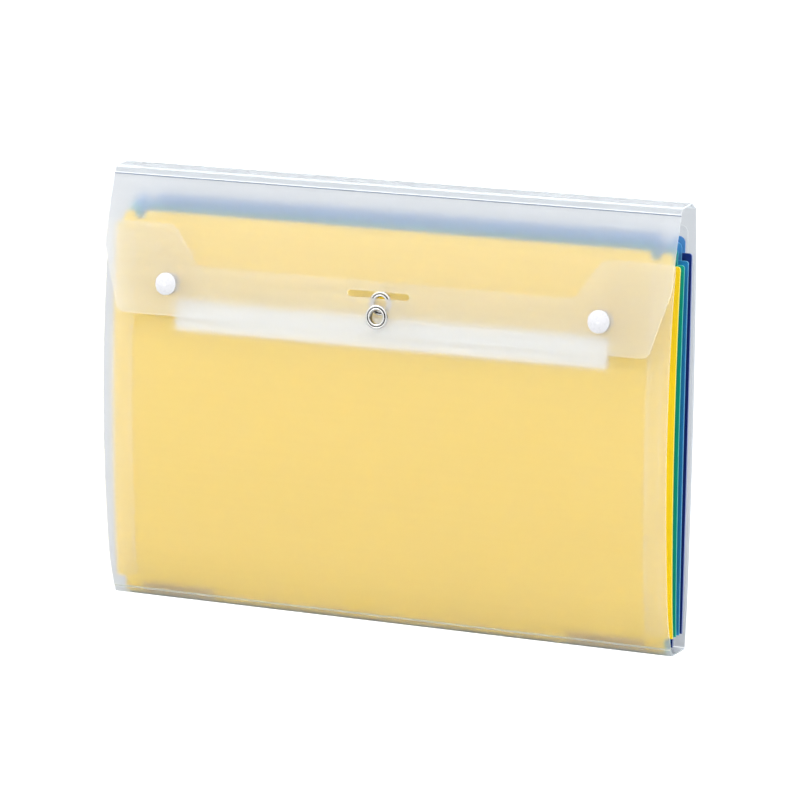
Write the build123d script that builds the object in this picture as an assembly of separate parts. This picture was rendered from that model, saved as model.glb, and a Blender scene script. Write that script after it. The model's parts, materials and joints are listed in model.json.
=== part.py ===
from build123d import *
import os
from math import asin, cos, hypot, radians, sin

# A wall file holder: one creased clear sheet wrapped round four coloured dividers.
# Millimetres. X is the width, Y the depth with the front toward -Y, and Z is up.
# The origin is the middle of the underside of the bottom strip, on which the case stands.

# The case
case_width = 330.0
case_height = 237.5  # to the front top edge
base_depth = 19.0
wrap_sheet = 0.8  # thickness of the clear outer sheet
front_bow = 15.0  # how far the front panel bulges past its lower edge
back_bow = 4.2
turned_in_reach = 30.0  # height at each end over which a bowed sheet turns in
lip_height = 3.2  # of the bottom strip's front lip, up to the front panel's crease
lip_bend = 1.0

# The top, from the back panel over to the flap. Every drop is measured down from the front top edge
back_crease_drop = 2.3
back_slope_run = 6.4  # depth of the slope behind the top
top_rise = 1.0  # of the top's back edge above its front edge
top_overhang = 0.1  # of its front edge, ahead of the base
flap_crease_run = 2.0  # depth of the slope ahead of the top
flap_crease_drop = 3.2

# The flap
flap_drop = 77.5  # to its low edge
flap_ear_gap = 0.8  # behind it, to the tops of the front panel's ears
flap_taper_drop = 42.5  # to where its sides start to narrow
flap_taper = 10.6  # by which each side narrows
flap_side_round = 12.0
flap_corner_round = 5.0
slot_length = 36.4
slot_width = 3.6
slot_drop = 56.7

# The front panel's top edge
ear_drop = 29.0
ear_width = 40.1
ear_corner_round = 2.0
ear_shoulder_round = 8.0
dip_drop = 50.5
dip_slope_run = 14.9  # width over which each side of the dip comes down
dip_round = 7.0

# The dividers: colour, foot's share of the depth from front to back, bow (backward if positive), and
# by how much the index edge and the shoulders stand above the lowest ones
dividers = [
    ("yellow", 0.22, -7.5, 0.0, 0.0),
    ("green", 0.43, -4.3, 2.4, 0.0),
    ("blue", 0.63, -1.5, 4.8, 1.6),
    ("navy", 0.82, 0.8, 7.2, 5.0),
]
ply = 0.5  # thickness of one divider sheet
divider_inset = 0.5  # from each side of the case
shoulder_drop = 31.0  # to the lowest shoulders
index_drop = 24.0  # to the top of the lowest index edge
index_bump_step = 0.5  # from the index edge down to the end bumps
index_notch_depth = 4.7
bump_inset = 4.0  # from the divider's side to its end bump
bump_width = 6.7
bump_round = 3.4
index_notch_width = 6.1
index_notch_round = 2.6
index_corner_round = 1.5
foot_notch_width = 5.0
foot_notch_height = 8.0
liner_rise = 12.5  # of the clear rear liner's index edge above the lowest one

# Anchor tabs at the foot of each divider
tab_length = 43.5
tab_inset = 16.0  # from the divider's side
tab_top = 7.0
tab_sheet = 0.5
tab_foot = 1.5

# The index label on the front divider
label_inset = 38.5  # from each side of the case
label_drop = 70.7
label_height = 16.5
label_sheet = 0.3

# Side gussets
gusset_inset = 4.0  # from the divider's side
gusset_fold_depth = 9.5
gusset_leg = 0.4  # wall, along the depth
gusset_gap = 0.2  # to the sheet on each side
gusset_end_gap = 1.5  # above the foot notch and below the lowest shoulder
gusset_levels = 12
gusset_level_bias = 1.5  # above 1, levels lie closer together near the foot, where the walls curve most

# Eyelets: the flange rolls up from the bore, dips to a groove, and ends in a low ring
eyelet_bore = 3.6  # radius
eyelet_wall = 0.5
eyelet_roll_width = 1.5
eyelet_roll_rise = 1.15
eyelet_groove_rise = 0.5
eyelet_ring_width = 1.4
eyelet_ring_rise = 0.95
eyelet_mouth_rise = 0.6
eyelet_curl_width = 1.2
eyelet_curl_rise = 0.35
washer_sheet = 0.5
washer_inset = 0.2  # from the flange's edge
eyelet_gap = 0.65  # between the flap's eyelet and the front panel's
flap_eyelet_drop = 68.2
front_eyelet_drop = 61.5

# Snap fasteners
snap_inset = 38.8  # from each side of the case
snap_drop = 60.5
snap_cap_radius = 6.1
snap_cap_rise = 1.6
snap_cap_rim = 0.6
snap_post_radius = 1.9
snap_socket_radius = 4.9
snap_socket_floor = 0.5
snap_stud_base_radius = 5.0
snap_stud_base = 0.5
snap_nub_radius = 2.3
snap_nub_chamfer = 0.3
snap_play = 0.45  # between the nub and the socket's side
snap_back_cap_radius = 5.8
snap_back_cap = 0.8

# Clearances
seat_gap = 0.1  # between a fitting and the sheet that it is fastened to
ply_gap = 0.1  # between two sheets that lie on each other
running_gap = 0.3  # between pieces that move past each other
crease_gap = 0.5  # from a crease's round edge to the sheet that turns about it
cutter_reach = 100.0  # longer than the case is deep
overrun = 1.0  # degrees by which a sheet runs past its cut


class SheetCurve:
    """Side view of a sheet: arcs that join smoothly, each as lowest and highest angle, centre, radius.

    An angle is the outward normal's, above the horizon. The side is -1 where the sheet bows to the
    front and 1 where it bows to the back. Offsets are measured from the curve to the front."""

    def __init__(self, side, arcs):
        self.side = side
        self.arcs = arcs

    def point(self, angle, offset=0.0):
        for _, high, (centre_y, centre_z), radius in self.arcs:
            if angle <= high:
                break
        reach = radius - self.side * offset
        return (centre_y + self.side * reach * cos(angle), centre_z + reach * sin(angle))

    def angle_at(self, z):
        for _, high, (_, centre_z), radius in self.arcs:
            if z <= centre_z + radius * sin(high):
                break
        return asin((z - centre_z) / radius)

    def y_at(self, z, offset=0.0):
        return self.point(self.angle_at(z), offset)[0]

    def plane_at(self, x, z, offset=0.0):
        """The plane that touches the sheet there and faces the front."""
        angle = self.angle_at(z)
        y, z = self.point(angle, offset)
        facing = (0, -cos(angle), -self.side * sin(angle))
        return Plane(origin=(x, y, z), x_dir=(1, 0, 0), z_dir=facing)

    def section(self, behind, ahead, low, high):
        """The sheet's section between two offsets and two angles."""
        joins = [arc[1] for arc in self.arcs if low < arc[1] < high]
        stops = [low, *joins, high]
        edges = [Line(self.point(a, behind), self.point(a, ahead)) for a in (low, high)]
        for offset in (behind, ahead):
            for start, end in zip(stops, stops[1:]):
                via = self.point((start + end) / 2, offset)
                edges.append(ThreePointArc(self.point(start, offset), via, self.point(end, offset)))
        return Plane.YZ * make_face(edges)

    def section_between(self, behind, ahead, low_z, high_z):
        return self.section(behind, ahead, self.angle_at(low_z), self.angle_at(high_z))


def bowed(edge_y, bow):
    """A sheet that stands upright with both edges at edge_y and bows by that much, backward if positive."""
    side = -1 if bow < 0 else 1
    middle_z = case_height / 2
    flat_reach = middle_z - turned_in_reach
    middle_angle = abs(bow) / (flat_reach / 2 + 2 * turned_in_reach)
    end_angle = 3 * middle_angle
    middle_radius = flat_reach / sin(middle_angle)
    end_radius = turned_in_reach / (sin(end_angle) - sin(middle_angle))
    depth = middle_radius * (1 - cos(middle_angle))
    depth += end_radius * (cos(middle_angle) - cos(end_angle))
    centre_y = edge_y + side * (depth - middle_radius)
    end_y = centre_y + side * (middle_radius - end_radius) * cos(middle_angle)
    end_shift = (middle_radius - end_radius) * sin(middle_angle)
    return SheetCurve(side, [
        (-end_angle, -middle_angle, (end_y, middle_z - end_shift), end_radius),
        (-middle_angle, middle_angle, (centre_y, middle_z), middle_radius),
        (middle_angle, end_angle, (end_y, middle_z + end_shift), end_radius),
    ])


def sheet_solid(section, length=case_width, centre_x=0.0):
    return Pos(centre_x, 0, 0) * extrude(section, length / 2, both=True)


def die_cut(right_half):
    """The prism that cuts a sheet to shape, from the right half of its outline: x, z, corner radius."""
    corners = right_half + [(-x, z, radius) for x, z, radius in reversed(right_half)]
    points = [(x, z) for x, z, _ in corners]
    line = FilletPolyline(*points, radius=[radius for *_, radius in corners], close=True)
    return extrude(Plane.XZ * make_face(line), cutter_reach, both=True)


def turned(*edges):
    """A round fitting from the right half of its section, with its axis along Z."""
    return revolve(Plane.XZ * make_face(edges), Axis.Z)


def hole(plane, radius):
    return plane * Cylinder(radius, 4 * wrap_sheet)


nodes = {}
half_width = case_width / 2
half_sheet = wrap_sheet / 2
crease_reach = half_sheet + crease_gap

# Lines of the two walls, given for their outer faces
front_edge_y = -base_depth / 2
back_edge_y = base_depth / 2
front = bowed(front_edge_y, -front_bow)
back = bowed(back_edge_y, back_bow)

# Bottom strip: flat underside, and a short front lip whose round top is the front panel's crease
lip_angle = front.angle_at(lip_height)
front_crease = front.point(lip_angle, -half_sheet)
lip_corner = (front.y_at(0) + half_sheet, half_sheet)
strip_line = FilletPolyline((back_edge_y, half_sheet), lip_corner, front_crease, radius=[lip_bend])
strip_section = trace(strip_line, wrap_sheet) + Pos(*front_crease) * Circle(half_sheet)
nodes["bottom_strip"] = sheet_solid(Plane.YZ * strip_section)

# Back panel: its round top is the first crease of the top
back_low = back.angle_at(wrap_sheet + running_gap)
back_high = back.angle_at(case_height - back_crease_drop)
back_crease = back.point(back_high, half_sheet)
back_section = back.section(0, wrap_sheet, back_low, back_high)
back_section += Plane.YZ * (Pos(*back_crease) * Circle(half_sheet))
nodes["back_panel"] = sheet_solid(back_section)

# What the fasteners need of the sheets: the holes, and room behind the flap for two eyelets
barrel_radius = eyelet_bore + eyelet_wall
eyelet_hole = barrel_radius + seat_gap
washer_front = wrap_sheet + seat_gap
washer_back = washer_front + washer_sheet + seat_gap
barrel_end = washer_back + eyelet_curl_rise
eyelet_room = eyelet_roll_rise + eyelet_gap + barrel_end + eyelet_curl_rise - wrap_sheet
snap_hole = snap_post_radius + 2 * seat_gap

# Front panel: two ears beside a wide dip, cut from the bowed sheet
front_low = lip_angle + crease_reach / front.arcs[0][3]
front_section = front.section(-wrap_sheet, 0, front_low, front.angle_at(case_height - lip_height))
ear_top = case_height - ear_drop
dip_side = half_width - ear_width
front_outline = [
    (half_width, -lip_height, 0),
    (half_width, ear_top, ear_corner_round),
    (dip_side, ear_top, ear_shoulder_round),
    (dip_side - dip_slope_run, case_height - dip_drop, dip_round),
]
front_panel = sheet_solid(front_section) & die_cut(front_outline)
front_eyelet_plane = front.plane_at(0, case_height - front_eyelet_drop)
snap_x = half_width - snap_inset
snap_height = case_height - snap_drop
front_snap_planes = [front.plane_at(end * snap_x, snap_height) for end in (-1, 1)]
front_panel -= hole(front_eyelet_plane, eyelet_hole)
for plane in front_snap_planes:
    front_panel -= hole(plane, snap_hole)
nodes["front_panel"] = front_panel

# Top strips: each starts clear of one crease and ends in a round edge on the next
top_back = (back_edge_y - back_slope_run, case_height + top_rise - half_sheet)
top_front = (front_edge_y - top_overhang, case_height - half_sheet)
flap_top = (top_front[0] - flap_crease_run, top_front[1] - flap_crease_drop)
top_strips = [
    ("lid_back_strip", back_crease, top_back),
    ("lid_top_strip", top_back, top_front),
    ("flap_crease_strip", top_front, flap_top),
]
for name, start, end in top_strips:
    run_y, run_z = end[0] - start[0], end[1] - start[1]
    share = crease_reach / hypot(run_y, run_z)
    first = (start[0] + share * run_y, start[1] + share * run_z)
    strip = trace(Line(first, end), wrap_sheet) + Pos(*end) * Circle(half_sheet)
    nodes[name] = sheet_solid(Plane.YZ * strip)

# Flap: one arc, from its crease, close past the ears, to a low edge with room behind it for the eyelets
flap_low = case_height - flap_drop
past_ears = (front.y_at(ear_top) - flap_ear_gap - half_sheet, ear_top)
past_eyelets = (front.y_at(flap_low) - eyelet_room - half_sheet, flap_low)
flap_arc = ThreePointArc(flap_top, past_ears, past_eyelets)
flap_radius = flap_arc.radius
flap_centre = (flap_arc.arc_center.X, flap_arc.arc_center.Y)
slope_high = asin((flap_top[1] - flap_centre[1]) / flap_radius)
slope_low = asin((flap_low - flap_centre[1]) / flap_radius)
flap_curve = SheetCurve(-1, [(slope_low, slope_high, flap_centre, flap_radius)])
flap_start = slope_low - radians(overrun)
flap_end = slope_high - crease_reach / flap_radius
flap_section = flap_curve.section(-half_sheet, half_sheet, flap_start, flap_end)
flap_outline = [
    (half_width - flap_taper, flap_low, flap_corner_round),
    (half_width, case_height - flap_taper_drop, flap_side_round),
    (half_width, case_height, 0),
]
flap = sheet_solid(flap_section) & die_cut(flap_outline)
flap_eyelet_plane = flap_curve.plane_at(0, case_height - flap_eyelet_drop, half_sheet)
flap_snap_planes = [flap_curve.plane_at(end * snap_x, snap_height, half_sheet) for end in (-1, 1)]
slot_plane = flap_curve.plane_at(0, case_height - slot_drop)
flap -= hole(flap_eyelet_plane, eyelet_hole)
for plane in flap_snap_planes:
    flap -= hole(plane, snap_hole)
flap -= slot_plane * extrude(SlotOverall(slot_length, slot_width), 2 * wrap_sheet, both=True)
nodes["flap"] = flap

# Eyelet: a rolled flange outside, a barrel through the sheet, and a curl over the washer inside
eyelet_groove = eyelet_bore + eyelet_roll_width
eyelet_flange = eyelet_groove + eyelet_ring_width
eyelet_curl = barrel_radius + eyelet_curl_width
ring_middle = (eyelet_flange + eyelet_groove) / 2
roll_middle = (eyelet_groove + eyelet_bore) / 2
curl_middle = (eyelet_curl + eyelet_bore) / 2
eyelet = turned(
    Polyline((barrel_radius, -washer_back), (barrel_radius, seat_gap), (eyelet_flange, seat_gap)),
    ThreePointArc(
        (eyelet_flange, seat_gap), (ring_middle, eyelet_ring_rise), (eyelet_groove, eyelet_groove_rise)
    ),
    ThreePointArc(
        (eyelet_groove, eyelet_groove_rise), (roll_middle, eyelet_roll_rise), (eyelet_bore, eyelet_mouth_rise)
    ),
    Line((eyelet_bore, eyelet_mouth_rise), (eyelet_bore, -barrel_end)),
    ThreePointArc(
        (eyelet_bore, -barrel_end), (curl_middle, -barrel_end - eyelet_curl_rise), (eyelet_curl, -barrel_end)
    ),
    Polyline((eyelet_curl, -barrel_end), (eyelet_curl, -washer_back), (barrel_radius, -washer_back)),
)
washer_inner = barrel_radius + seat_gap
washer_radius = eyelet_flange - washer_inset
washer = Pos(0, 0, -washer_front - washer_sheet / 2) * (
    Cylinder(washer_radius, washer_sheet) - Cylinder(washer_inner, washer_sheet)
)
for owner, plane in (("flap", flap_eyelet_plane), ("front", front_eyelet_plane)):
    nodes[owner + "_eyelet"] = plane * eyelet
    nodes[owner + "_eyelet_washer"] = plane * washer

# Snaps: the socket reaches from the flap to just short of the stud's base on the front panel
snap_angle = flap_curve.angle_at(snap_height)
snap_space = (front.y_at(snap_height) - flap_curve.y_at(snap_height, -half_sheet)) * cos(snap_angle)
socket_height = snap_space - 2 * seat_gap - snap_stud_base - running_gap
socket_back = wrap_sheet + seat_gap
socket_cavity = snap_nub_radius + snap_play
stud_front = seat_gap + snap_stud_base
nub_top = snap_space - seat_gap - snap_socket_floor - running_gap
stud_hole_end = nub_top - snap_socket_floor
post_hole = snap_post_radius + seat_gap
snap_cap = turned(
    Polyline(
        (0, snap_cap_rise),
        (0, -socket_back - snap_socket_floor),
        (snap_post_radius, -socket_back - snap_socket_floor),
        (snap_post_radius, seat_gap),
        (snap_cap_radius, seat_gap),
        (snap_cap_radius, snap_cap_rim),
    ),
    TangentArc((0, snap_cap_rise), (snap_cap_radius, snap_cap_rim), tangent=(1, 0)),
)
snap_socket = turned(Polyline(
    (post_hole, -socket_back),
    (snap_socket_radius, -socket_back),
    (snap_socket_radius, -socket_back - socket_height),
    (socket_cavity, -socket_back - socket_height),
    (socket_cavity, -socket_back - snap_socket_floor),
    (post_hole, -socket_back - snap_socket_floor),
    close=True,
))
snap_stud = turned(Polyline(
    (post_hole, seat_gap),
    (snap_stud_base_radius, seat_gap),
    (snap_stud_base_radius, stud_front),
    (snap_nub_radius, stud_front),
    (snap_nub_radius, nub_top - snap_nub_chamfer),
    (snap_nub_radius - snap_nub_chamfer, nub_top),
    (0, nub_top),
    (0, stud_hole_end),
    (post_hole, stud_hole_end),
    close=True,
))
snap_back_end = wrap_sheet + seat_gap + snap_back_cap
snap_back = turned(Polyline(
    (0, stud_hole_end - seat_gap),
    (0, -snap_back_end),
    (snap_back_cap_radius, -snap_back_end),
    (snap_back_cap_radius, -wrap_sheet - seat_gap),
    (snap_post_radius, -wrap_sheet - seat_gap),
    (snap_post_radius, stud_hole_end - seat_gap),
    close=True,
))
snap_parts = [
    ("snap_caps", snap_cap, flap_snap_planes),
    ("snap_sockets", snap_socket, flap_snap_planes),
    ("snap_studs", snap_stud, front_snap_planes),
    ("snap_back_caps", snap_back, front_snap_planes),
]
for name, fitting, planes in snap_parts:
    nodes[name] = Compound([(plane * fitting).solid() for plane in planes])

# Outlines of the dividers' sheets
divider_half_width = half_width - divider_inset
foot_height = wrap_sheet + running_gap
notch_top = foot_height + foot_notch_height
shoulder_height = case_height - shoulder_drop
bump_outer = divider_half_width - bump_inset
bump_inner = bump_outer - bump_width
index_side = bump_inner - index_notch_width
foot_corners = [
    (divider_half_width - foot_notch_width, -lip_height, 0),
    (divider_half_width - foot_notch_width, notch_top, 0),
    (divider_half_width, notch_top, 0),
]


def plain_outline(shoulder_rise):
    return foot_corners + [(divider_half_width, shoulder_height + shoulder_rise, index_corner_round)]


def index_outline(rise, shoulder_rise=0.0):
    top = case_height - index_drop + rise
    return plain_outline(shoulder_rise) + [
        (bump_outer, shoulder_height + shoulder_rise, 0),
        (bump_outer, top - index_bump_step, bump_round),
        (bump_inner, top - index_bump_step, index_corner_round),
        (bump_inner, top - index_notch_depth, index_notch_round),
        (index_side, top - index_notch_depth, index_notch_round),
        (index_side, top, index_corner_round),
    ]


def sheet_at(curve, behind, outline):
    """A full-height divider sheet whose rear face lies at that offset from its curve."""
    high = curve.angle_at(case_height - wrap_sheet)
    section = curve.section(behind, behind + ply, curve.angle_at(foot_height), high)
    return sheet_solid(section) & die_cut(outline)


# Rear liner, against the inside of the back panel
liner_behind = wrap_sheet + ply_gap
nodes["rear_liner"] = sheet_at(back, liner_behind, index_outline(liner_rise))

# Dividers: an index sheet, a plain sheet on its front, and two tabs that anchor it to the bottom strip
tab_centre = divider_half_width - tab_inset - tab_length / 2
walls = [("front", front, 0.0, -wrap_sheet)]
plain_front = ply_gap / 2 + ply
for colour, share, bow, rise, shoulder_rise in dividers:
    curve = bowed(front_edge_y + share * (back_edge_y - front_edge_y), bow)
    nodes[colour + "_index_sheet"] = sheet_at(curve, -plain_front, index_outline(rise, shoulder_rise))
    nodes[colour + "_front_sheet"] = sheet_at(curve, ply_gap / 2, plain_outline(shoulder_rise))
    tab_behind = plain_front + ply_gap
    foot_middle = foot_height + tab_sheet / 2
    tab_section = curve.section_between(tab_behind, tab_behind + tab_sheet, foot_middle, tab_top)
    foot_y = curve.y_at(foot_height, tab_behind + tab_sheet / 2) - tab_foot / 2
    foot_section = Pos(foot_y, foot_middle) * Rectangle(tab_foot, tab_sheet)
    tab = sheet_solid(tab_section + Plane.YZ * foot_section, tab_length)
    nodes[colour + "_tabs"] = Compound([(Pos(end * tab_centre, 0, 0) * tab).solid() for end in (-1, 1)])
    walls.append((colour, curve, plain_front, -plain_front))
walls.append(("back", back, liner_behind + ply, 0.0))

# Index label, on the front face of the first divider
label_curve = walls[1][1]
label_behind = plain_front + ply_gap
label_top = case_height - label_drop
label_section = label_curve.section_between(
    label_behind, label_behind + label_sheet, label_top - label_height, label_top
)
nodes["index_label"] = sheet_solid(label_section, case_width - 2 * label_inset)

# Side gussets: a strip with one inward fold, between each two walls, at both ends
gusset_low = notch_top + gusset_end_gap
gusset_high = shoulder_height - gusset_end_gap
gusset_outer = divider_half_width - gusset_inset
gusset_fold = gusset_outer - gusset_fold_depth


def gusset(ahead, behind, end):
    """The gusset from the rear face of the wall ahead to the front face of the wall behind."""
    sections = []
    for level in range(gusset_levels + 1):
        z = gusset_low + (gusset_high - gusset_low) * (level / gusset_levels) ** gusset_level_bias
        first_y = ahead[1].y_at(z, ahead[3]) + gusset_gap
        last_y = behind[1].y_at(z, behind[2]) - gusset_gap
        fold_y = (first_y + last_y) / 2
        hollow_fold = gusset_fold + gusset_leg * gusset_fold_depth / (fold_y - first_y)
        corners = [
            (gusset_outer, first_y),
            (gusset_fold, fold_y),
            (gusset_outer, last_y),
            (gusset_outer, last_y - gusset_leg),
            (hollow_fold, fold_y),
            (gusset_outer, first_y + gusset_leg),
        ]
        line = Polyline(*[(end * x, y) for x, y in corners], close=True)
        sections.append(Pos(0, 0, z) * make_face(line))
    return loft(sections, ruled=True)


for ahead, behind in zip(walls, walls[1:]):
    for end, side_name in ((-1, "left"), (1, "right")):
        nodes[f"{ahead[0]}_gusset_{side_name}"] = gusset(ahead, behind, end)

os.makedirs("parts", exist_ok=True)
for name, part in nodes.items():
    export_step(part, os.path.join("parts", name + ".step"))
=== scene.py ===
import json
import math
import bmesh
import bpy
import numpy as np
from mathutils import Matrix, Vector


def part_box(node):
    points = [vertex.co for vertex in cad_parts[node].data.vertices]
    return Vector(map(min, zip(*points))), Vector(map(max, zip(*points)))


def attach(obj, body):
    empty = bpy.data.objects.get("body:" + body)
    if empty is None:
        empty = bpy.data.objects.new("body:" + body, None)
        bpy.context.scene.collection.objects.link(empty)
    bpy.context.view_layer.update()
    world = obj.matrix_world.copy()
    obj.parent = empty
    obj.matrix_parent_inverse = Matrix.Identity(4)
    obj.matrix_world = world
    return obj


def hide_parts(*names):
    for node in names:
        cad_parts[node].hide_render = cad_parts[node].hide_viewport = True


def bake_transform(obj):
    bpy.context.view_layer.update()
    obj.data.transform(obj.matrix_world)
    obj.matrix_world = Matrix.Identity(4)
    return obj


# A wall file holder: one frosted sheet, creased round four coloured dividers, with a snap-down flap.
# Metres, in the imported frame: X is the width, the front faces -Y, and Z is up from the base strip.
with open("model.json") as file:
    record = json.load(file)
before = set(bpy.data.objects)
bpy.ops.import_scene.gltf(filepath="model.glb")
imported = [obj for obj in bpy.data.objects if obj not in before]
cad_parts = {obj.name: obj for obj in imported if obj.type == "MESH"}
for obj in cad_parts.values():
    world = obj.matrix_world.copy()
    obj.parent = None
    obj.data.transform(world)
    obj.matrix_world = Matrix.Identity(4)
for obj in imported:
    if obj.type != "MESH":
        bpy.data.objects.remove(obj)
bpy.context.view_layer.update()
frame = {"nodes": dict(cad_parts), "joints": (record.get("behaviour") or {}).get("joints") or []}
nodes = frame["nodes"]
MM = 0.001


# The wrap: one sheet of natural polypropylene, 0.8 mm thick, extruded with a fine frost on both faces
# and die cut to the case's outline. It makes the front, the base strip, the back, the top and the flap.
# Light that runs inside the sheet comes out where it is cut or creased: those lines are painted paler and
# given a painted glow, so that they look white.
class Signal:
    """A socket in a material's nodes. Arithmetic on it adds the Math nodes that the expression needs."""

    def __init__(self, tree, socket=None):
        self.tree = tree
        self.socket = socket

    def node(self, kind, settings=None, inputs=None, output=0):
        """Any node: its type, its settings, then the values or signals of its sockets."""
        made = self.tree.nodes.new(kind)
        for name, value in (settings or {}).items():
            setattr(made, name, value)
        for name, value in (inputs or {}).items():
            if isinstance(value, Signal):
                self.tree.links.new(value.socket, made.inputs[name])
            else:
                made.inputs[name].default_value = value
        return Signal(self.tree, made.outputs[output] if len(made.outputs) else None)

    def maths(self, operation, *values):
        return self.node("ShaderNodeMath", {"operation": operation}, dict(enumerate(values)))

    def __add__(self, other):
        return self.maths("ADD", self, other)

    def __sub__(self, other):
        return self.maths("SUBTRACT", self, other)

    def __mul__(self, other):
        return self.maths("MULTIPLY", self, other)

    def __rsub__(self, other):
        return self.maths("SUBTRACT", other, self)

    def __abs__(self):
        return self.maths("ABSOLUTE", self)

    __radd__ = __add__
    __rmul__ = __mul__

    def part(self, axis):
        """The X, Y or Z of a vector."""
        return self.node("ShaderNodeSeparateXYZ", None, {0: self}, "XYZ".index(axis))

    def step(self, low, high):
        """0 up to low, 1 from high, and smooth between."""
        settings = {"interpolation_type": "SMOOTHSTEP"}
        return self.node("ShaderNodeMapRange", settings, {0: self, 1: low, 2: high})

    def tint(self, first, second):
        """From one colour to another as the signal goes from 0 to 1."""
        return self.node("ShaderNodeMix", {"data_type": "RGBA"}, {0: self, 6: first, 7: second}, 2)


def colour(red, green, blue):
    return (red, green, blue, 1.0)


def finish_of(name, build):
    """A material from a function that gets a bare signal and returns the surface's sockets."""
    material = bpy.data.materials.new(name)
    material.use_nodes = True
    material.node_tree.nodes.clear()
    bare = Signal(material.node_tree)
    surface = bare.node("ShaderNodeBsdfPrincipled", None, build(bare))
    bare.node("ShaderNodeOutputMaterial", None, {"Surface": surface})
    return material


def place_of(bare):
    """Where a point of the surface is, in metres."""
    return bare.node("ShaderNodeTexCoord", None, None, 3)


def facing_of(bare):
    """Which way the surface faces there."""
    return bare.node("ShaderNodeTexCoord", None, None, 1)


def grain(bare, stretch, detail=3.0):
    """Noise from 0 to 1, with that many waves a metre along X, Y and Z."""
    spots = bare.node("ShaderNodeVectorMath", {"operation": "MULTIPLY"}, {0: place_of(bare), 1: stretch})
    return bare.node("ShaderNodeTexNoise", None, {"Vector": spots, "Scale": 1.0, "Detail": detail})


EXTRUDED = (9.0, 9.0, 420.0)  # streaks along the width, as the sheet leaves the rollers
FROST = (2600.0, 2600.0, 2600.0)
FROST_DEPTH = 0.02 * MM
STREAK_SHADE = 0.985
SHEET_BEND = 1.22  # the sheet's index of refraction: low, because a frosted face hardly mirrors
CUT_END = (0.6, 0.9)  # how squarely a face looks along X: a broad one up to the first, a cut from the second
BROAD_FACE = (0.35, 0.7)  # and along Y: a cut up to the first, a broad one from the second
CREASE_LINE = (0.42 * MM, 0.62 * MM)  # from a crease's centre: white up to the first, gone at the second


def dress(node, material):
    nodes[node].data.materials.clear()
    nodes[node].data.materials.append(material)


def fine_bump(bare, strength, height, depth=FROST_DEPTH):
    return bare.node("ShaderNodeBump", None, {"Strength": strength, "Distance": depth, "Height": height})


def sheet_finish(name, face, cut, clearness, frost, glow, crease=None, across="Y"):
    """A sheet whose broad faces look along Y, or one that is only cut at its X ends.

    Its cut edges, and the line of its crease at (Y, Z), are painted paler and given a painted glow.
    """

    def build(bare):
        if across == "X":
            edge = abs(facing_of(bare).part("X")).step(*CUT_END)
        else:
            edge = 1 - abs(facing_of(bare).part("Y")).step(*BROAD_FACE)
        if crease:
            down = place_of(bare).part("Z") - crease[1]
            along = place_of(bare).part("Y") - crease[0]
            reach = bare.maths("SQRT", along * along + down * down)
            edge = bare.maths("MAXIMUM", edge, 1 - reach.step(*CREASE_LINE))
        streaks = grain(bare, EXTRUDED)
        fine = grain(bare, FROST, 2.0)
        darker = colour(*(STREAK_SHADE * part for part in face[:3]))
        body = (streaks + fine * 0.5 - 0.25).step(0.25, 0.75).tint(darker, face)
        return {
            "Base Color": edge.tint(body, cut),
            "Roughness": frost - 0.05 + fine * 0.1,
            "IOR": SHEET_BEND,
            "Transmission Weight": clearness,
            # A painted glow along the cut edges and the crease line
            "Emission Color": edge.tint(colour(0, 0, 0), cut),
            "Emission Strength": glow,
            "Normal": fine_bump(bare, 0.15, fine),
        }

    return finish_of(name, build)


CLEAR = colour(0.985, 0.992, 1.0)
CUT_CLEAR = colour(0.95, 0.98, 1.0)
ROUND_EDGE = 0.4 * MM  # half the sheet: the radius of an edge at a crease
joint_at = {joint["name"]: joint["pos_m"] for joint in frame["joints"]}
front_crease = tuple(joint_at["front_fan"][1:])
back_crease = tuple(joint_at["lid_fold"][1:])
top_crease = tuple(joint_at["flap_fold"][1:])


def round_edge(node):
    """Where a top strip's round front edge has its centre: Y, Z."""
    low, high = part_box(node)
    tip = [v.co for v in nodes[node].data.vertices if v.co.y < low.y + ROUND_EDGE]
    return (low.y + ROUND_EDGE, (max(v.z for v in tip) + min(v.z for v in tip)) / 2)


ridge = round_edge("lid_back_strip")
flap_crease = round_edge("flap_crease_strip")

# Each panel, the crease at its end, whose line is painted white and glowing, the way its faces look, its
# colour, how clear it is and how rough its frost is. The top strips are a little greyer.
# A greyer white for the top strips
TOP_STRIP_GREY = colour(0.95, 0.965, 0.98)
# How strongly the wrap's cut edges and crease lines give off their painted glow
WRAP_GLOW = 0.25
wrap_pieces = [
    ("bottom_strip", None, "X", CLEAR, 0.9, 0.6),
    ("back_panel", back_crease, "Y", CLEAR, 0.96, 0.5),
    ("front_panel", None, "Y", CLEAR, 0.905, 0.6),
    ("lid_back_strip", ridge, "X", TOP_STRIP_GREY, 0.9, 0.6),
    ("lid_top_strip", top_crease, "X", TOP_STRIP_GREY, 0.9, 0.6),
    ("flap_crease_strip", flap_crease, "X", TOP_STRIP_GREY, 0.9, 0.6),
    ("flap", None, "Y", CLEAR, 0.86, 0.55),
]
for node, crease, across, face, clearness, frost in wrap_pieces:
    frosted = sheet_finish(node + "_frosted", face, CUT_CLEAR, clearness, frost, WRAP_GLOW, crease, across)
    dress(node, frosted)


# The webs: along each crease a heated blade has pressed the sheet to about 0.3 mm, so that it bends
# there like a hinge. Each web is the pressed strip from a crease's round edge to the next panel.
WEB_THIN = 0.15 * MM  # half the thickness at the middle
WEB_THICK = 0.36 * MM  # and at both ends
WEB_STEPS = 8
SMOOTH_BEND = 1.45  # the index of refraction of a smooth face
WEB_ROOT = 0.7  # how far out in the round edge a web starts, as a share of its radius
WEB_GRIP = 0.05 * MM  # how far it reaches into the next sheet
END_LAYER = 0.15 * MM  # the points this near to a sheet's nearest one are its end


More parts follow.
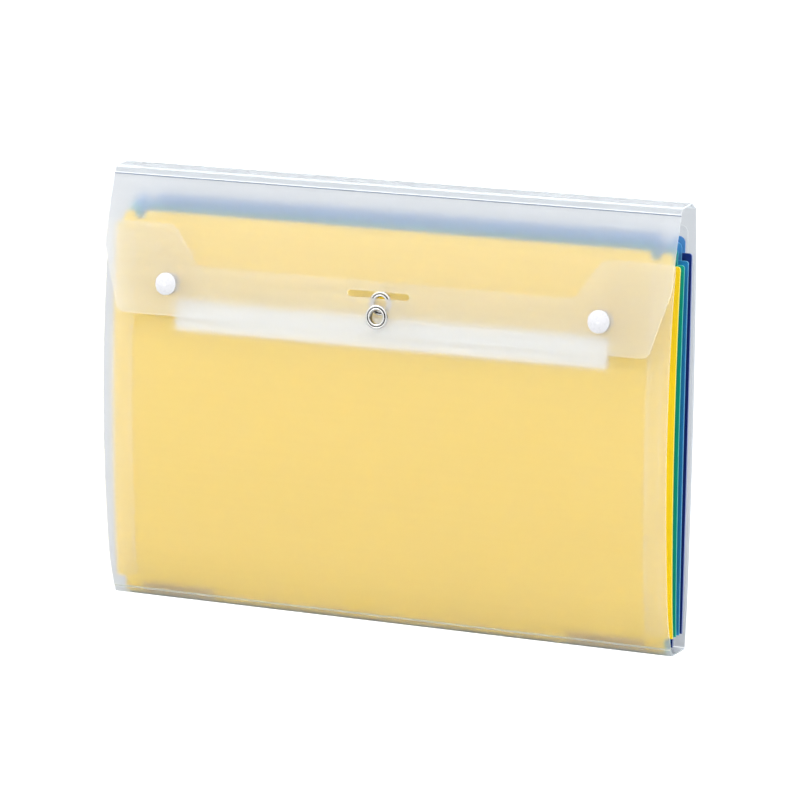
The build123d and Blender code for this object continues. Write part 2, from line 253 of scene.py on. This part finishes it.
def web_finish(first, second):
    """The blade polishes the sheet, so a web is smooth; the shade varies a little along it."""
    return lambda bare: {
        "Base Color": grain(bare, EXTRUDED).tint(first, second),
        "Roughness": 0.3,
        "IOR": SMOOTH_BEND,
        "Transmission Weight": 0.5,
    }


# The front web is painted grey and the flap's web dark blue-grey: painted shade along those two creases
painted_shade_web = finish_of("front_web_painted_shade", web_finish(colour(0.66, 0.69, 0.66), colour(0.76, 0.79, 0.76)))
whitened = finish_of("whitened_web", web_finish(colour(0.93, 0.96, 0.98), colour(0.98, 0.99, 1.0)))
shaded = finish_of("shaded_web", web_finish(colour(0.30, 0.33, 0.42), colour(0.42, 0.46, 0.55)))


def web(name, body, node, crease, finish):
    """The pressed strip between a crease's centre line and the nearest end of a panel's sheet."""
    line = Vector((0, *crease))
    flat = [(v.co, (Vector((0, v.co.y, v.co.z)) - line).length) for v in nodes[node].data.vertices]
    nearest = min(distance for _, distance in flat)
    end = [co for co, distance in flat if distance < nearest + END_LAYER]
    far = sum((Vector((0, co.y, co.z)) for co in end), Vector()) / len(end)
    run = (far - line).normalized()
    side = Vector((0, -run.z, run.y))
    start = line + run * WEB_ROOT * ROUND_EDGE
    half_width = max(co.x for co in end)
    rows = []
    for step in range(WEB_STEPS + 1):
        share = step / WEB_STEPS
        thick = WEB_THIN + (WEB_THICK - WEB_THIN) * (2 * share - 1) ** 2
        middle = start.lerp(far + run * WEB_GRIP, share)
        rows.append((middle + side * thick, middle - side * thick))
    section = [row[0] for row in rows] + [row[1] for row in reversed(rows)]
    shape = bmesh.new()
    ends = [[shape.verts.new((x, p.y, p.z)) for p in section] for x in (-half_width, half_width)]
    for first, second in zip(range(len(section)), [*range(1, len(section)), 0]):
        shape.faces.new((ends[0][first], ends[0][second], ends[1][second], ends[1][first]))
    shape.faces.new(ends[0])
    shape.faces.new(list(reversed(ends[1])))
    bmesh.ops.recalc_face_normals(shape, faces=shape.faces)
    mesh = bpy.data.meshes.new(name)
    shape.to_mesh(mesh)
    shape.free()
    piece = bpy.data.objects.new(name, mesh)
    bpy.context.scene.collection.objects.link(piece)
    mesh.materials.append(finish)
    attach(piece, body)


web("front_crease_web", "front", "front_panel", front_crease, painted_shade_web)
web("back_crease_web", "lid", "lid_back_strip", back_crease, whitened)
web("ridge_web", "lid", "lid_top_strip", ridge, whitened)
web("top_crease_web", "flap", "flap_crease_strip", top_crease, whitened)
web("flap_crease_web", "flap", "flap", flap_crease, shaded)


# The rear liner: a clear index sheet of the same polypropylene, 0.5 mm thick, welded to the back panel
# along its foot. Its raised edge stands above those of the dividers.
dress("rear_liner", sheet_finish("clear_liner", CLEAR, CUT_CLEAR, 0.96, 0.4, 0.2))


# The dividers: each is two sheets of 0.5 mm polypropylene, coloured all through, with a fine matt grain.
# The rear one has the raised index edge. Apart from the yellow, the two sheets of a divider are lit and
# shaded copies: the rear one is painted lighter and made clearer, for the light that goes through it where
# it stands alone, and the front one darker. Their cut edges get a painted glow in a paler shade of the
# sheet's colour.
YELLOW = colour(0.96, 0.67, 0.012)
DYED_FROST = 0.6
DYED_GLOW = 0.3

# For each, the rear sheet's colour and clearness, the front one's, and the colour of the cut edges
divider_colours = {
    "yellow": ((YELLOW, 0.12), (YELLOW, 0.12), colour(0.95, 0.88, 0.20)),
    "green": ((colour(0.08, 0.66, 0.62), 0.8), (colour(0.01, 0.60, 0.48), 0.4), colour(0.20, 0.78, 0.68)),
    "blue": ((colour(0.20, 0.62, 0.92), 0.8), (colour(0.05, 0.44, 0.80), 0.5), colour(0.25, 0.66, 0.90)),
    "navy": ((colour(0.12, 0.38, 0.74), 0.7), (colour(0.015, 0.04, 0.24), 0.25), colour(0.34, 0.40, 0.70)),
}
for shade, (index, front, cut) in divider_colours.items():
    for part, (face, clearness) in (("_index_sheet", index), ("_front_sheet", front)):
        dress(shade + part, sheet_finish(shade + part, face, cut, clearness, DYED_FROST, DYED_GLOW))


# The anchor tabs: short feet of clear sheet, two under each divider. Each is heat-welded to the front of
# its divider and to the base strip, and bends there as the pockets fan out.
tab_clear = sheet_finish("clear_tab", colour(0.97, 0.93, 0.86), CUT_CLEAR, 0.95, 0.2, 0.05)
for shade in divider_colours:
    dress(shade + "_tabs", tab_clear)


# The index label: a strip of white film on the front of the yellow divider, to write on. It is matt, and
# a little uneven in shade along the strip.
LABEL_GRAIN_DEPTH = 0.01 * MM


def label_finish(bare):
    fine = grain(bare, FROST, 2.0)
    return {
        "Base Color": grain(bare, EXTRUDED).tint(colour(0.88, 0.885, 0.88), colour(0.93, 0.93, 0.92)),
        "Roughness": 0.4 + fine * 0.1,
        "IOR": SMOOTH_BEND,
        "Normal": fine_bump(bare, 0.1, fine, LABEL_GRAIN_DEPTH),
    }


dress("index_label", finish_of("white_film", label_finish))


# The side gussets: strips of thin clear sheet, folded once inward and welded between each two walls, so
# that the pockets can fan out and nothing falls out at the ends.
GUSSET_SHEET = 0.35 * MM
GUSSET_ROWS = 48
GUSSET_TURNS = 8  # steps on each side of the fold
FOLD_ROUND = 0.06  # of the leg, so the fold is bent and not sharp
LEVEL_REACH = 0.1 * MM  # points within this of a height or a width are at it


def gusset_finish(bare):
    """The strip is thin enough for most light to pass straight through. Its fold and ends look whiter."""
    end_on = abs(facing_of(bare).part("X")).step(0.6, 0.95)
    fine = grain(bare, FROST, 2.0)
    return {
        "Base Color": fine.tint(colour(0.90, 0.92, 0.94), colour(0.97, 0.98, 1.0)),
        "Roughness": 0.3 + fine * 0.1,
        "IOR": SMOOTH_BEND,
        "Alpha": 0.03 + end_on * 0.36,
        "Normal": fine_bump(bare, 0.1, fine),
    }


gusset_clear = finish_of("clear_gusset", gusset_finish)


def gusset(ahead, side):
    """One gusset, between the walls on two bodies, along the outline of its plain solid."""
    node = f"{ahead.removesuffix('_divider')}_gusset_{side}"
    points = np.array([v.co for v in nodes[node].data.vertices])
    outer = points[np.abs(points[:, 0]).argmax(), 0]
    fold = points[np.abs(points[:, 0]).argmin(), 0]
    ends = points[np.abs(points[:, 0] - outer) < LEVEL_REACH]
    levels = sorted(set(np.round(ends[:, 2], 4)))
    near = [ends[np.abs(ends[:, 2] - z) < LEVEL_REACH, 1] for z in levels]
    first, last = np.array([(level.min(), level.max()) for level in near]).T
    shape = bmesh.new()
    rows = []
    for z in np.linspace(levels[0], levels[-1], GUSSET_ROWS + 1):
        front_y = np.interp(z, levels, first) + GUSSET_SHEET / 2
        back_y = np.interp(z, levels, last) - GUSSET_SHEET / 2
        row = []
        for turn in range(-GUSSET_TURNS, GUSSET_TURNS + 1):
            share = turn / GUSSET_TURNS
            away = (math.hypot(share, FOLD_ROUND) - FOLD_ROUND) / (math.hypot(1, FOLD_ROUND) - FOLD_ROUND)
            x = fold + (outer - fold) * away
            row.append(shape.verts.new((x, (front_y + back_y) / 2 + share * (back_y - front_y) / 2, z)))
        rows.append(row)
    for low, high in zip(rows, rows[1:]):
        for a, b, c, d in zip(low, low[1:], high[1:], high):
            shape.faces.new((a, b, c, d)).smooth = True
    bmesh.ops.recalc_face_normals(shape, faces=shape.faces)
    mesh = bpy.data.meshes.new(node + "_sheet")
    shape.to_mesh(mesh)
    shape.free()
    piece = bpy.data.objects.new(node + "_sheet", mesh)
    bpy.context.scene.collection.objects.link(piece)
    thicken = piece.modifiers.new("thickness", "SOLIDIFY")
    thicken.thickness, thicken.offset = GUSSET_SHEET, 0.0
    with bpy.context.temp_override(object=piece, active_object=piece):
        bpy.ops.object.modifier_apply(modifier=thicken.name)
    mesh.materials.append(gusset_clear)
    # The walls lean together toward the top, and so do the planes between which the gusset bends
    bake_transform(piece)
    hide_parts(node)


wall_bodies = ["front"] + [shade + "_divider" for shade in divider_colours] + ["case_back"]
for ahead, behind in zip(wall_bodies, wall_bodies[1:]):
    for side in ("left", "right"):
        gusset(ahead, side)


# The eyelets: nickel-plated brass, flanged on the outside and rolled over a flat washer on the inside. Shade
# is painted down the barrel and in the groove between the ring and the roll round the mouth.
GROOVE_RADIUS = 5.1 * MM
GROOVE_REACH = (0.12 * MM, 0.5 * MM)  # from its middle: painted dark up to the first, plain from the second
MOUTH_RADIUS = 3.6 * MM
MOUTH_EDGE = (MOUTH_RADIUS - 0.02 * MM, MOUTH_RADIUS + 0.12 * MM)
WIPE_GRAIN = (900.0, 900.0, 900.0)


def nickel_finish(name, centre):
    def build(bare):
        wipe = grain(bare, WIPE_GRAIN, 4.0)
        beside = place_of(bare).part("X") - centre.x
        above = place_of(bare).part("Z") - centre.z
        radius = bare.maths("SQRT", beside * beside + above * above)
        # Painted shade in the groove between the ring and the roll, and down the barrel
        groove_shade = 1 - abs(radius - GROOVE_RADIUS).step(*GROOVE_REACH)
        barrel_shade = 1 - radius.step(*MOUTH_EDGE)
        bright = wipe.tint(colour(0.78, 0.77, 0.75), colour(0.88, 0.87, 0.85))
        return {
            "Base Color": bare.maths("MAXIMUM", groove_shade, barrel_shade).tint(bright, colour(0.22, 0.21, 0.20)),
            "Metallic": 1.0,
            "Roughness": 0.10 + wipe * 0.12,
            "Normal": fine_bump(bare, 0.1, wipe),
        }

    return finish_of(name, build)


for owner in ("flap", "front"):
    eyelet_low, eyelet_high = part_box(owner + "_eyelet")
    nickel = nickel_finish(owner + "_nickel_plate", (eyelet_low + eyelet_high) / 2)
    dress(owner + "_eyelet", nickel)
    dress(owner + "_eyelet_washer", nickel)


# The snaps: injection-moulded white acetal, glossy from the mould. A cap and socket hold the flap between
# them, and a stud and back cap the front panel.
MOULD_GRAIN = (500.0, 500.0, 500.0)
MOULD_DEPTH = 0.05 * MM
ACETAL_BEND = 1.48


def snap_finish(bare):
    soft = grain(bare, MOULD_GRAIN)
    return {
        "Base Color": soft.tint(colour(0.69, 0.69, 0.715), colour(0.73, 0.73, 0.755)),
        "Roughness": 0.22 + soft * 0.12,
        "IOR": ACETAL_BEND,
        "Coat Weight": 0.25,
        "Normal": fine_bump(bare, 0.08, soft, MOULD_DEPTH),
    }


snap_white = finish_of("white_acetal", snap_finish)
for piece in ("snap_caps", "snap_sockets", "snap_studs", "snap_back_caps"):
    dress(piece, snap_white)


# The stage: a pale floor in a white tent, as for a catalogue. The camera sees both as plain white, and the
# case sees them as they are lit, so that the sheets keep their shades.
FLOOR_RADIUS = 12.0
FLOOR_DROP = 0.05 * MM
floor_mesh = bpy.data.meshes.new("floor")
disc = bmesh.new()
bmesh.ops.create_circle(disc, cap_ends=True, radius=FLOOR_RADIUS, segments=96)
disc.to_mesh(floor_mesh)
disc.free()
floor = bpy.data.objects.new("floor", floor_mesh)
floor.location.z = -FLOOR_DROP
bpy.context.scene.collection.objects.link(floor)
floor_mesh.materials.append(finish_of("white_floor", lambda bare: {
    "Base Color": colour(0.46, 0.48, 0.50), "Roughness": 0.9, "Emission Strength": 0.9,
    "Emission Color": bare.node("ShaderNodeLightPath").tint(colour(0, 0, 0), colour(1, 1, 1))}))

world = bpy.data.worlds.new("studio")
bpy.context.scene.world = world
world.use_nodes = True
world.node_tree.nodes.clear()
air = Signal(world.node_tree)
direction = air.node("ShaderNodeTexCoord", None, None, 0)


def toward(aim, low, high):
    """1 where a direction is near the aim, by the cosine between them."""
    near = {0: direction, 1: Vector(aim).normalized()}
    return air.node("ShaderNodeVectorMath", {"operation": "DOT_PRODUCT"}, near, 1).step(low, high)


# The tent's front and top are lit, and its back is dim
tent = toward((-0.2, -0.77, 0.60), -0.3, 0.6).tint(colour(0.50, 0.53, 0.57), colour(1.57, 1.57, 1.57))
# What mirrors the tent sees its lamp and a black card at the right, which give the nickel its contrast
boxes = toward((-0.5, -0.75, 0.43), 0.55, 0.75).tint(colour(0.5, 0.5, 0.5), colour(1.4, 1.4, 1.4))
carded = toward((0.86, -0.38, -0.12), 0.75, 0.88).tint(boxes, colour(0.02, 0.02, 0.02))
ray_kind = {name: air.node("ShaderNodeLightPath", None, None, output)
            for name, output in (("camera", 0), ("glossy", 3), ("reflected", 5))}
studio = (ray_kind["glossy"] * ray_kind["reflected"]).tint(tent, carded)
sky = air.node("ShaderNodeBackground", None, {"Color": ray_kind["camera"].tint(studio, colour(1, 1, 1))})
air.node("ShaderNodeOutputWorld", None, {"Surface": sky})

# Two soft boxes hang above: each one's place and its power in watts
SOFTBOX_SIDES = (1.2, 0.9)
softboxes = [("front_softbox", (-1.1, -1.3, 1.5), 9.0), ("rear_softbox", (0.7, 1.6, 1.7), 10.0)]
for lamp_name, place, power in softboxes:
    softbox = bpy.data.lights.new(lamp_name, "AREA")
    softbox.shape, softbox.energy = "RECTANGLE", power
    softbox.size, softbox.size_y = SOFTBOX_SIDES
    lamp = bpy.data.objects.new(lamp_name, softbox)
    lamp.location = place
    lamp.rotation_euler = (Vector((0, 0, 0.1)) - lamp.location).to_track_quat("-Z", "Y").to_euler()
    bpy.context.scene.collection.objects.link(lamp)


# The camera: a long lens, a little to the right of the front and above it, and leaning by less than a
# degree. Its place was fitted to the corners of the case.
AZIMUTH, ELEVATION, ROLL = (math.radians(angle) for angle in (24.58, 10.34, 0.86))
DISTANCE = 2.463
AIM = Vector((0.0020, 0.0, 0.1207))
camera = bpy.data.cameras.new("camera")
camera.sensor_width, camera.lens = 36.0, 206.9  # millimetres
camera.clip_start, camera.clip_end = 0.1, 60.0
viewer = bpy.data.objects.new("camera", camera)
back = Vector((math.sin(AZIMUTH) * math.cos(ELEVATION), -math.cos(AZIMUTH) * math.cos(ELEVATION),
               math.sin(ELEVATION)))
turn = back.to_track_quat("Z", "Y").to_matrix().to_4x4() @ Matrix.Rotation(ROLL, 4, "Z")
viewer.matrix_world = Matrix.Translation(AIM + back * DISTANCE) @ turn
bpy.context.scene.collection.objects.link(viewer)
bpy.context.scene.camera = viewer
bpy.context.scene.view_settings.view_transform = "Standard"

# Light crosses up to twelve sheets, with two faces each, on its way through the case
light_paths = bpy.context.scene.cycles
light_paths.max_bounces = light_paths.transmission_bounces = light_paths.transparent_max_bounces = 32
light_paths.diffuse_bounces = light_paths.glossy_bounces = 8
